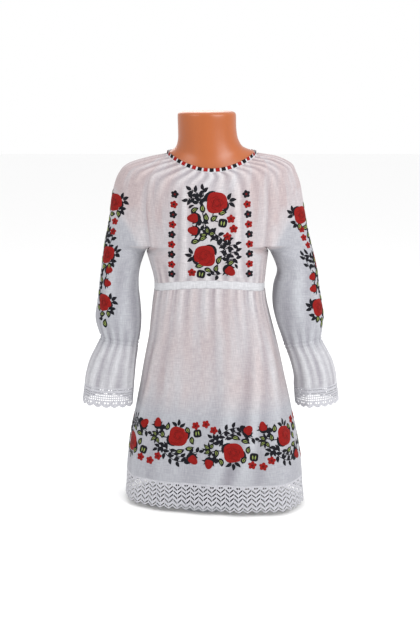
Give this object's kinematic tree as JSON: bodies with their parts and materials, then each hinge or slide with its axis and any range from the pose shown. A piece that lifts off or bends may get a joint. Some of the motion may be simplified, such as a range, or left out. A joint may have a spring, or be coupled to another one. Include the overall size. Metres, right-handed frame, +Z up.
{
  "type": "embroidered folk dress on dress form",
  "caption": "Child's white gathered folk dress with long elasticated sleeves, lace edges and rose embroidery, displayed on a limbless dress form.",
  "frame": {"origin": "centre of the stand base's underside, on the floor", "axes": "+Z up, the front of the dress faces -Y, +X towards the viewer's right"},
  "size_m": [0.4666, 0.1872, 0.71],
  "materials": {
    "cotton": "matte",
    "lace": "matte",
    "form_plastic": "satin",
    "stand_metal": "satin"
  },
  "bodies": {
    "root": {"bodice_front": "cotton", "bodice_back": "cotton", "sleeve_left": "cotton", "sleeve_right": "cotton", "neckband": "cotton", "waistband": "cotton", "skirt_front": "cotton", "skirt_back": "cotton", "hem_lace_front": "lace", "hem_lace_back": "lace", "cuff_lace_left": "lace", "cuff_lace_right": "lace", "dress_form": "form_plastic", "stand_pole": "stand_metal", "stand_base": "stand_metal"}
  },
  "joints": []
}
